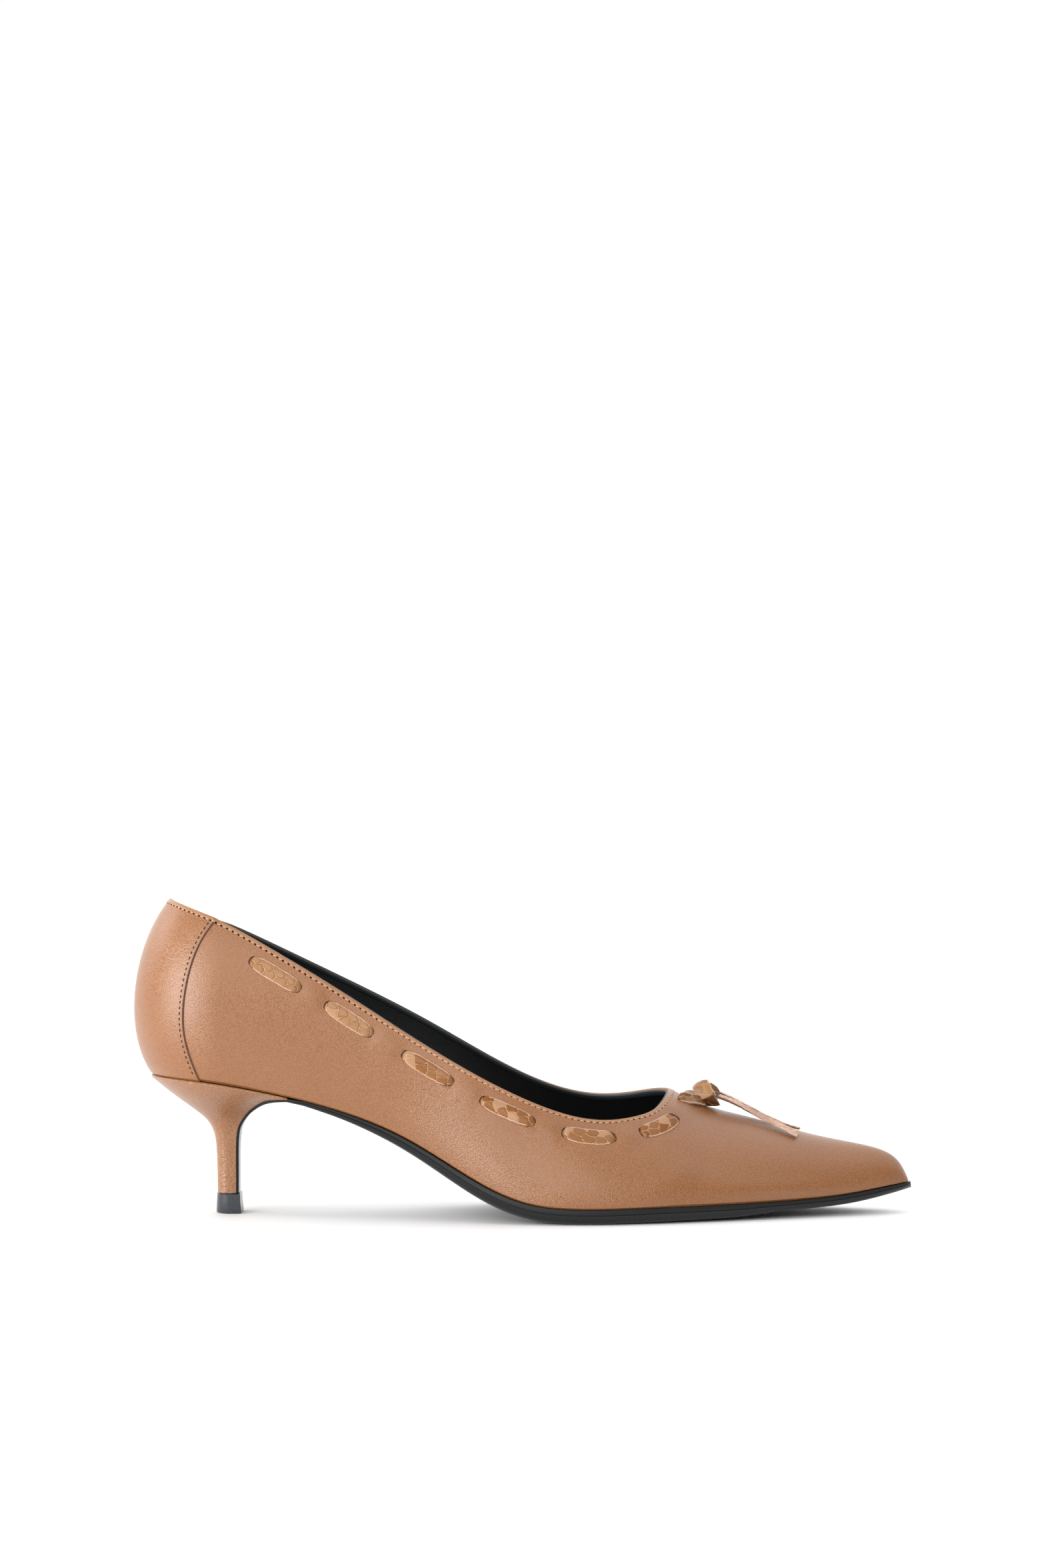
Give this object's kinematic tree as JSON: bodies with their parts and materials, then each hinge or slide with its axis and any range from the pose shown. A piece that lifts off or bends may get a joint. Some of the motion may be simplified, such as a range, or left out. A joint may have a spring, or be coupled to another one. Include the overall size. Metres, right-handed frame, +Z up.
{
  "type": "kitten heel pump",
  "caption": "Pointed kitten heel pump for the right foot, leather upper with a strip threaded through oval windows and knotted at the throat, thin sole and slim covered heel.",
  "frame": {"origin": "on the floor, in the middle of the shoe's box", "axes": "+X towards the toe, +Y towards the medial side, +Z up"},
  "size_m": [0.2607, 0.0753, 0.1057],
  "materials": {
    "leather": "smooth grain, semi-gloss",
    "strip": "scale embossed, glossy",
    "lining": "matt black lining",
    "sole": "black, satin edge",
    "tip": "matt black"
  },
  "bodies": {
    "root": {"upper": "leather", "heel_counter": "leather", "heel": "leather", "insole": "lining", "outsole": "sole", "heel_tip": "tip", "lace_bar_lateral_1": "strip", "lace_bar_lateral_2": "strip", "lace_bar_lateral_3": "strip", "lace_bar_lateral_4": "strip", "lace_bar_lateral_5": "strip", "lace_bar_lateral_6": "strip", "lace_bar_medial_1": "strip", "lace_bar_medial_2": "strip", "lace_bar_medial_3": "strip", "lace_bar_medial_4": "strip", "lace_bar_medial_5": "strip", "lace_bar_medial_6": "strip", "lace_knot": "strip", "lace_lead_lateral": "strip", "lace_lead_medial": "strip", "lace_end_lateral": "strip", "lace_end_medial": "strip"}
  },
  "joints": []
}
